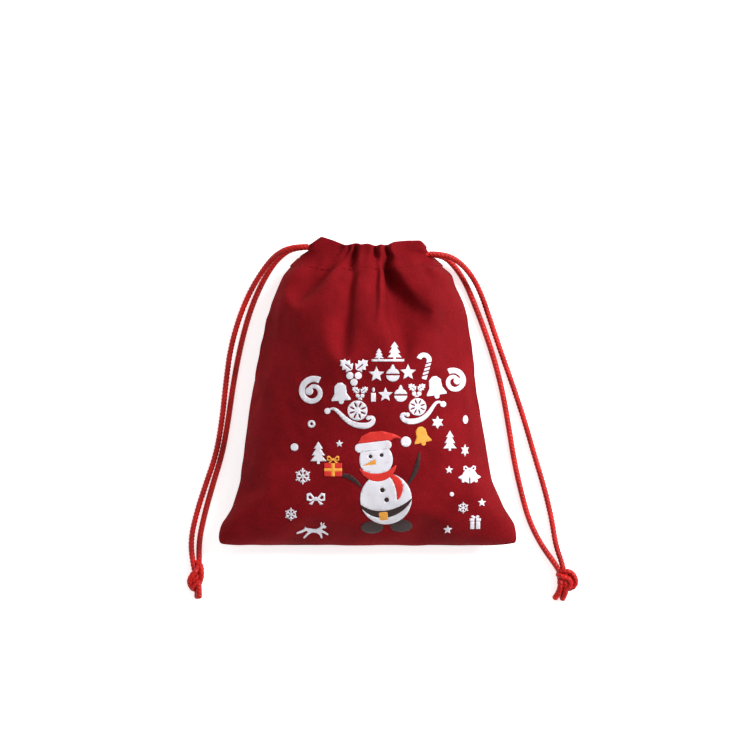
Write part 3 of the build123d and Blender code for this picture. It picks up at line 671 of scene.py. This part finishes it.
class Cloth:
    """The two panels of the sack as grids of points, joined along the side and bottom seams."""

    def __init__(self):
        self.points = []
        self.flat = []  # for each point, its height above the bottom seam and its distance from a side
        self.held = {}  # where the collar holds its points
        self.index = {}  # the number of the point at a side, row and column
        self.faces = []
        pleats = {1: along_pleats(FRONT_PLEATS), -1: along_pleats(back_pleats())}
        for side in (1, -1):
            for row in range(ROWS + 1):
                for column in range(COLUMNS + 1):
                    self.add(side, row, column, pleats[side])
        for side in (1, -1):
            for row in range(ROWS):
                for column in range(COLUMNS):
                    corners = [
                        self.index[side, row, column],
                        self.index[side, row, column + 1],
                        self.index[side, row + 1, column + 1],
                        self.index[side, row + 1, column],
                    ]
                    self.faces.append(corners if side > 0 else corners[::-1])

    def add(self, side, row, column, pleats):
        """One point of a panel, shared by both panels along a seam."""
        height = HEIGHTS[row]
        seam = row == 0 or (column in (0, COLUMNS) and height < FLAT_LENGTH - SLIT)
        if seam and side < 0:
            self.index[side, row, column] = self.index[1, row, column]
            return
        u = 2 * column / COLUMNS - 1
        dip = 4.0 * (1 - u * u) * max(0.0, 1 - height / 60)
        rise = 0.0 if seam else side * 3.0 * min(1.0, 6 * (1 - abs(u)), height / 12)
        self.index[side, row, column] = len(self.points)
        start_y = BOTTOM_Y - 6 + height - dip
        if height >= FLAT_LENGTH - COLLAR - 0.01:
            self.held[len(self.points)] = neck_place(side, u, height, pleats)
        self.points.append((u * half_width(height), start_y, START_Z + rise))
        self.flat.append((height, (1 - abs(u)) * half_width(height)))


def simulate(cloth):
    """Draw in the neck, fill the sack with air under its own weight, and let it settle on the table."""
    start = np.array(cloth.points) * SIM
    drawn = start.copy()
    for index, place in cloth.held.items():
        drawn[index] = np.array(place) * SIM
    mesh = bpy.data.meshes.new("cloth")
    mesh.from_pydata([tuple(p) for p in start], [], cloth.faces)
    sheet = bpy.data.objects.new("cloth", mesh)
    scene = bpy.context.scene
    scene.collection.objects.link(sheet)
    sheet.shape_key_add(name="Basis")
    key = sheet.shape_key_add(name="drawn")
    key.data.foreach_set("co", drawn.astype(np.float32).ravel())
    key.value = 0
    key.keyframe_insert("value", frame=1)
    key.value = 1
    key.keyframe_insert("value", frame=int(FRAMES * DRAWN_IN))
    group = sheet.vertex_groups.new(name="held")
    group.add(list(cloth.held), 1.0, "REPLACE")
    bpy.ops.mesh.primitive_plane_add(size=8, location=(0, 0, 0))
    table = bpy.context.object
    table.modifiers.new("Collision", "COLLISION")
    table.collision.thickness_outer = 0.004
    table.collision.cloth_friction = 8
    stiff = sheet.vertex_groups.new(name="stiff")
    for index, (height, from_side) in enumerate(cloth.flat):
        stiff.add([index], float(smooth_steps(3, 16, min(height, from_side))), "REPLACE")
    modifier = sheet.modifiers.new("Cloth", "CLOTH")
    settings = modifier.settings
    settings.quality = 7
    settings.mass = COARSE_MASS * (52 / COLUMNS) ** 2
    settings.tension_stiffness = settings.compression_stiffness = 30
    settings.shear_stiffness = 10
    settings.bending_stiffness = 1.5
    settings.bending_stiffness_max = 40
    settings.vertex_group_bending = "stiff"
    settings.tension_damping = settings.compression_damping = 8
    settings.air_damping = 2
    settings.vertex_group_mass = "held"
    settings.use_pressure = True
    settings.uniform_pressure_force = PRESSURE
    modifier.collision_settings.distance_min = 0.006
    modifier.collision_settings.use_self_collision = False
    modifier.point_cache.frame_start = 1
    modifier.point_cache.frame_end = FRAMES + 1
    scene.frame_start, scene.frame_end = 1, FRAMES + 1
    for number in range(1, FRAMES + 1):
        scene.frame_set(number)
    settled = bpy.data.meshes.new_from_object(sheet.evaluated_get(bpy.context.evaluated_depsgraph_get()))
    points = np.zeros(len(settled.vertices) * 3)
    settled.vertices.foreach_get("co", points)
    for thing in (sheet, table):
        bpy.data.objects.remove(thing)
    bpy.data.meshes.remove(settled)
    scene.frame_set(1)
    return points.reshape(-1, 3) / SIM


# The outline of the laid sack: y, then how far it reaches to the left and to the right.
OUTLINE = [
    (-76, 77, 76), (-67, 75, 74), (-59, 70, 69), (-45, 66, 63), (0, 60, 55),
    (45, 51, 50), (60, 45, 43), (72, 34, 31),
]
CORNER_LIFT = 2.4  # how much further up the bottom edge lies at its corners
FULLER = 0.16  # how much the settled sack is stretched in height, as a share
RELAXING = 30  # passes of smoothing over the sharpest creases


def reach(points, ys):
    """How far the cloth reaches to the left and right at each y."""
    rows = []
    for y in ys:
        near = points[abs(points[:, 1] - y) < 0.8 * STEP]
        rows.append((-near[:, 0].min(), near[:, 0].max()))
    return blurred(np.array(rows), 4, 1.2)


def relax(points):
    """Iron out the sharpest creases at the collar's lower edge, the bottom corners and the bottom seam."""
    height, from_side = np.array(cloth.flat).T
    below_collar = FLAT_LENGTH - COLLAR - height
    collar = np.where(below_collar > -3, 0.6 * np.exp(-((below_collar / 7) ** 2)), 0)
    beside = (1 - smooth_steps(6, 16, from_side)) * np.where(below_collar > -1, 1, 0)
    corner = beside * (0.7 - 0.7 * smooth_steps(55, 75, height) + smooth_steps(125, 145, height))
    hem = 0.8 * (1 - smooth_steps(8, 30, height))
    weight = 0.6 * np.maximum(np.maximum(collar, corner), hem)[:, None]
    edges = np.array(sorted({tuple(sorted((f[k], f[k - 1]))) for f in cloth.faces for k in range(4)}))
    count = np.bincount(edges.ravel(), minlength=len(points))[:, None]
    for _ in range(RELAXING):
        total = np.zeros_like(points)
        np.add.at(total, edges[:, 0], points[edges[:, 1]])
        np.add.at(total, edges[:, 1], points[edges[:, 0]])
        points = points + (total / count - points) * weight
    return points


def lay_straight(points):
    """Fit the settled cloth to the laid outline: its straight bottom edge, its sides and its height."""
    points = relax(points)
    edge = points[[cloth.index[1, 0, column] for column in range(COLUMNS + 1)]]
    low = np.interp(points[:, 0], edge[:, 0], edge[:, 1])
    share = 1 - smooth_steps(BOTTOM_Y, BOTTOM_Y + 50, points[:, 1])
    target = BOTTOM_Y + CORNER_LIFT * smooth_steps(60, 82, abs(points[:, 0]))
    points[:, 1] += (target - low) * share
    ys = np.arange(-76, 73, 1.5)
    now = reach(points, ys)
    wanted = np.array(OUTLINE, float)
    held = smooth_steps(68, 73, points[:, 1])
    side = smooth_steps(-25, 25, points[:, 0])
    factors = []
    for k in (0, 1):
        ratio = np.interp(ys, wanted[:, 0], wanted[:, k + 1]) / now[:, k]
        factors.append(np.interp(points[:, 1], ys, ratio))
    factor = factors[0] * (1 - side) + factors[1] * side
    points[:, 0] *= factor * (1 - held) + held
    points[:, 2] *= 1 + FULLER * smooth_steps(8, 45, points[:, 2])
    return points


# Folds that run down the front from the collar: how far each stands up, its half width and its line.
FOLDS = [
    (-2.6, 2.4, [(8.4, 69.5), (8.4, 65.0), (8.8, 60.0), (10.6, 54.0), (14.4, 46.0)]),
    (-3.0, 1.8, [(-6.8, 70.0), (-7.8, 66.5), (-9.6, 63.0), (-11.4, 60.0)]),
    (1.8, 1.4, [(-4.6, 70.0), (-5.6, 66.5), (-7.6, 63.0)]),
    (
        4.6, 2.8,
        [(-10.4, 62.0), (-12.4, 57.0), (-14.2, 51.0), (-15.0, 44.0), (-15.6, 36.0), (-16.0, 26.0)],
    ),
    (1.7, 3.8, [(2.4, 67.0), (2.4, 60.0), (2.4, 44.0), (2.4, 24.0)]),
    (1.6, 3.0, [(13.6, 66.0), (17.0, 58.0), (22.0, 49.0), (27.4, 40.0)]),
    (-2.4, 2.6, [(26.5, 66.0), (28.4, 61.6), (31.6, 57.0)]),
    (-2.0, 3.0, [(-26.0, 67.0), (-29.5, 63.0), (-33.5, 57.0)]),
    (-1.2, 1.8, [(3.4, 72.0), (3.2, 69.5), (2.6, 66.0)]),
]
DRAG = (-5.2, 14.5, 9.0)  # how far the gather drags the deep fold on the right, its place and width


def fold_front(rows):
    """Smooth the middle of the neck, then drag and deepen the folds that the drawn cords pull into it."""
    rows = rows.copy()
    x, y = rows[..., 0], rows[..., 1]
    below_casing = 1 - smooth_steps(63, 70, y)
    middle = np.exp(-(((x + 3.5) / 10.5) ** 4)) * smooth_steps(24, 44, y) * below_casing
    rows[..., 2] += (soften(rows, 60)[..., 2] - rows[..., 2]) * middle
    shift, place, width = DRAG
    tall = smooth_steps(20, 42, y) * below_casing
    x += shift * np.exp(-(((x - place) / width) ** 2)) * tall
    points = rows.reshape(-1, 3)
    for depth, half, line in FOLDS:
        path, at = even(np.array([(*spot, 0) for spot in line], float), 1.0)
        share = at / at[-1]
        strength = smooth_steps(-0.12, 0.16, share) * (1 - smooth_steps(0.45, 1.0, share))
        spread = half * (0.75 + 0.75 * share)
        gap = np.linalg.norm(points[:, None, :2] - path[None, :, :2], axis=2)
        points[:, 2] += depth * (strength * np.exp(-((gap / spread) ** 2))).max(axis=1)
    return points.reshape(rows.shape)


def grid(points, side):
    """A panel's points as rows by columns."""
    order = [[cloth.index[side, row, column] for column in range(COLUMNS + 1)] for row in range(ROWS + 1)]
    return points[np.array(order)]


def grid_normals(rows):
    """Unit normals of a grid of points."""
    normal = np.cross(np.gradient(rows, axis=1), np.gradient(rows, axis=0))
    length = np.linalg.norm(normal, axis=2)[..., None]
    return normal / np.maximum(length, 1e-9)


def soften(values, passes):
    """A grid of vectors with its small ripples smoothed away."""
    for _ in range(passes):
        padded = np.pad(values, ((1, 1), (1, 1), (0, 0)), mode="edge")
        beside = padded[:-2, 1:-1] + padded[2:, 1:-1] + padded[1:-1, :-2] + padded[1:-1, 2:]
        values = (padded[1:-1, 1:-1] * 2 + beside) / 6
    return values


CORD_ROOM = 1.3  # room between a cord and the hem that is turned in round it
HEM_GAP = (1.5, 2.9)  # least distance of the turned-in hem from the panel, and what the tunnel adds


def with_hem(rows, inward):
    """The panel with its mouth turned in round the cord; inward is the hem's direction in Z, -1 or 1."""
    into = soften(grid_normals(rows), 6)
    into *= np.sign(into[..., 2:3].mean()) * inward
    columns = np.arange(rows.shape[1])
    edge = smooth_steps(-3, 9, STEP * np.minimum(columns, columns[::-1]))
    into *= edge[:, None]
    cord_z = FRONT_CORD_Z if inward < 0 else BACK_CORD_Z
    limit = cord_z + inward * (CORD_D / 2 + CORD_ROOM)
    turned_in = []
    for k in range(1, int(HEM / STEP) + 1):
        depth = k * STEP / HEM
        gap = HEM_GAP[0] + HEM_GAP[1] * math.sin(math.pi * min(1.0, depth * 1.15)) ** 1.2
        tunnel = float(smooth_steps(0, 0.14, depth) * (1 - smooth_steps(0.55, 0.85, depth)))
        row = rows[-1 - k] + into[-1 - k] * gap
        inner = limit + (row[:, 2] - limit) * (1 - tunnel * edge)
        row[:, 2] = np.where((row[:, 2] - limit) * inward < 0, inner, row[:, 2])
        turned_in.append(row)
    fold = rows[-1] + into[-1] * 0.8 + np.array([0, 0.4, 0])
    return np.concatenate([rows, fold[None], np.array(turned_in)])


def grid_faces(down, across, flip):
    """The quads of a grid."""
    faces = []
    for r in range(down - 1):
        for c in range(across - 1):
            a = r * across + c
            corners = (a, a + 1, a + across + 1, a + across)
            faces.append(corners[::-1] if flip else corners)
    return faces


def panel(name, rows, flip, seed):
    """One panel of velour: subdivided, faintly rumpled, with real thickness inwards."""
    piece = new_object(name, rows.reshape(-1, 3), grid_faces(*rows.shape[:2], flip))
    piece.modifiers.new("Fine", "SUBSURF").levels = 1
    apply_modifiers(piece)
    mesh = piece.data
    count = len(mesh.vertices)
    points, normals = np.zeros(count * 3), np.zeros(count * 3)
    mesh.vertices.foreach_get("co", points)
    mesh.vertices.foreach_get("normal", normals)
    points, normals = points.reshape(-1, 3) / MM, normals.reshape(-1, 3)
    body = 1 - smooth_steps(58, 66, points[:, 1])  # the neck stays as it is
    rumple = 0.35 * wave_noise(points, 34, seed) + 0.16 * wave_noise(points, 13, seed + 1)
    points += normals * (rumple * body)[:, None]
    points[:, 2] = np.maximum(points[:, 2], 0.1)
    mesh.vertices.foreach_set("co", (points * MM).ravel())
    mesh.update()
    solid = piece.modifiers.new("Thickness", "SOLIDIFY")
    solid.thickness = CLOTH * MM
    solid.offset = -1
    solid.use_even_offset = False
    apply_modifiers(piece)
    piece.data.polygons.foreach_set("use_smooth", [True] * len(piece.data.polygons))
    piece.data.materials.clear()
    piece.data.materials.append(VELOUR)
    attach(piece, "pouch")
    return piece


cloth = Cloth()
settled = lay_straight(simulate(cloth))
front = fold_front(grid(settled, 1))
back = grid(settled, -1)
front_cloth = panel("front_cloth", with_hem(front, -1), False, 11)
back_cloth = panel("back_cloth", with_hem(back, 1), True, 23)
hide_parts("front_panel", "front_casing")
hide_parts("back_panel", "back_casing")


# Seams and stitching -----------------------------------------------------------------


SEAM_LINES = (2.4, 3.4, 4.6, 5.8, 7.0)  # how far inside a seam its allowance's points lie
THREAD_INSIDE = 4.3  # how far inside it its stitches lie
SEAM_REACH = int(round(9 / STEP))  # how many squares inwards the seam's direction is read
SEAM_STITCH = 4.8  # length of a stitch in the seams
CASING_STITCH = 3.2  # and in the casings
STITCH_RADIUS = 0.24
STITCH_RISE = 0.22  # how far a stitch's middle rises above its ends
STITCH_SUNK = 0.1  # how far its ends sink in
AROUND_STITCH = 8  # points round a stitch
ALONG_STITCH = 9  # rings along it


def strip(name, lines, node):
    """A seam allowance: a narrow double layer of cloth along a seam, inside the sack."""
    rows = np.array(lines)
    piece = new_object(name, rows.reshape(-1, 3), grid_faces(*rows.shape[:2], False))
    solid = piece.modifiers.new("Thickness", "SOLIDIFY")
    solid.thickness = 2 * CLOTH * MM
    solid.offset = 0
    apply_modifiers(piece)
    piece.data.materials.append(VELOUR_INSIDE)
    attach(piece, "pouch")
    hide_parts(node)


def stitches(name, line, above, pitch, node):
    """A row of stitches along a line; each dips into the cloth at both ends."""
    points, at = even(np.asarray(line, float), pitch)
    vertices, faces = [], []
    for k in range(len(points) - 1):
        start, end = points[k], points[k + 1]
        run = end - start
        length = np.linalg.norm(run)
        run /= length
        across = np.cross(run, above)
        across /= np.linalg.norm(across)
        up = np.cross(across, run)
        base = len(vertices)
        for t in np.linspace(0.1, 0.9, ALONG_STITCH):
            bulge = math.sin(math.pi * (t - 0.1) / 0.8)
            centre = start + run * t * length + up * (STITCH_RISE * bulge - STITCH_SUNK)
            radius = STITCH_RADIUS * (0.55 + 0.45 * bulge)
            for m in range(AROUND_STITCH):
                angle = 2 * math.pi * m / AROUND_STITCH
                vertices.append(centre + radius * (across * math.cos(angle) + up * math.sin(angle)))
        for ring in range(base, base + (ALONG_STITCH - 1) * AROUND_STITCH, AROUND_STITCH):
            for m in range(AROUND_STITCH):
                a, b = ring + m, ring + (m + 1) % AROUND_STITCH
                faces.append((a, b, b + AROUND_STITCH, a + AROUND_STITCH))
        last = base + (ALONG_STITCH - 1) * AROUND_STITCH
        faces.append([base + m for m in range(AROUND_STITCH)][::-1])
        faces.append([last + m for m in range(AROUND_STITCH)])
    piece = new_object(name, vertices, faces)
    piece.data.materials.append(THREAD)
    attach(piece, "pouch")
    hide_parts(node)


def inner_seam(name, spots):
    """The allowance and the stitches inside one seam; spots are pairs of one place on it and one inwards."""
    lines, thread = [], []
    for spot, inner in spots:
        seam = front[spot]
        middle = (front[inner] + back[inner]) / 2
        way = (middle - seam) / np.linalg.norm(middle - seam)
        lines.append([seam + way * distance for distance in SEAM_LINES])
        thread.append(seam + way * THREAD_INSIDE + np.array([0, 0, CLOTH]))
    strip(f"{name}_allowance", lines, f"{name}_seam_allowance")
    stitches(f"{name}_thread", thread, (0, 0, 1), SEAM_STITCH, f"{name}_seam_thread")


def side_seam(name, column, inwards):
    """What is inside one side seam."""
    inner = column + inwards * SEAM_REACH
    rows = range(int(8 / STEP), int((FLAT_LENGTH - SLIT - 6) / STEP))
    inner_seam(name, [((row, column), (row, inner)) for row in rows])


def bottom_seam():
    """What is inside the bottom seam."""
    corner = int(12 / STEP)
    columns = range(corner, COLUMNS - corner)
    inner_seam("bottom", [((0, column), (SEAM_REACH, column)) for column in columns])


def casing_row(name, rows, above):
    """The stitch row that closes one casing, on the outside of its panel."""
    row = ROWS - int(round(STITCH_ROW / STEP))
    edge = int(round(3 / STEP))
    line = rows[row, edge:-edge]
    stitches(f"{name}_stitches", line, above, CASING_STITCH, f"{name}_casing_stitches")


side_seam("left", 0, 1)
side_seam("right", COLUMNS, -1)
bottom_seam()
casing_row("front", front, (0, 0, 1))
casing_row("back", back, (0, 0, -1))


# Print ---------------------------------------------------------------------------------

PRINT_COLOURS = {
    "print_snowman_red": (RED, "print_red"),
    "print_snowman_gold": (GOLD, "print_gold"),
    "print_snowman_dark": (DARK, "print_dark"),
}


PRINT_SQUARE = 0.0013  # how finely a print is cut, in metres
PRINT_SKIN = 0.0004  # its thickness
PRINT_ABOVE = 0.00028  # how far its face lies above the cloth
DROP_HEIGHT = 0.2  # where its points are dropped from


def surface_under(piece):
    """A piece's surface, as a tree to drop points on."""
    mesh = piece.data
    return BVHTree.FromPolygons([v.co[:] for v in mesh.vertices], [p.vertices[:] for p in mesh.polygons])


def flat_outline(node):
    """A print's upper faces as a flat mesh, cut finely enough to follow the cloth."""
    made = bmesh.new()
    made.from_mesh(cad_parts[node].data)
    made.normal_update()
    under = [face for face in made.faces if face.normal.z < 0.3]
    bmesh.ops.delete(made, geom=under, context="FACES")
    for vertex in made.verts:
        vertex.co.z = 0
    bmesh.ops.remove_doubles(made, verts=made.verts, dist=0.00001)
    xs = [v.co.x for v in made.verts]
    ys = [v.co.y for v in made.verts]
    for axis, values in ((0, xs), (1, ys)):
        normal = [0, 0, 0]
        normal[axis] = 1
        place = math.floor(min(values) / PRINT_SQUARE) * PRINT_SQUARE
        while place < max(values):
            point = [0, 0, 0]
            point[axis] = place
            everything = made.verts[:] + made.edges[:] + made.faces[:]
            bmesh.ops.bisect_plane(made, geom=everything, plane_co=point, plane_no=normal, dist=1e-7)
            place += PRINT_SQUARE
    return made


def lay_print(node, surface):
    """Drop one print onto the front of the sack as a thin skin."""
    made = flat_outline(node)
    for vertex in made.verts:
        above = Vector((vertex.co.x, vertex.co.y, DROP_HEIGHT))
        spot, normal, _, _ = surface.ray_cast(above, Vector((0, 0, -1)))
        if spot:
            vertex.co = spot + normal * PRINT_ABOVE
    mesh = bpy.data.meshes.new(f"{node}_skin")
    made.to_mesh(mesh)
    made.free()
    mesh.polygons.foreach_set("use_smooth", [True] * len(mesh.polygons))
    piece = bpy.data.objects.new(f"{node}_skin", mesh)
    bpy.context.scene.collection.objects.link(piece)
    solid = piece.modifiers.new("Thickness", "SOLIDIFY")
    solid.thickness = PRINT_SKIN
    solid.offset = -1
    apply_modifiers(piece)
    material, slot = PRINT_COLOURS.get(node, (WHITE, "print_white"))
    piece.data.materials.clear()
    piece.data.materials.append(material)
    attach(piece, "pouch")
    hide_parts(node)


top_surface = surface_under(front_cloth)
for node in sorted(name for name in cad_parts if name.startswith("print_")):
    lay_print(node, top_surface)
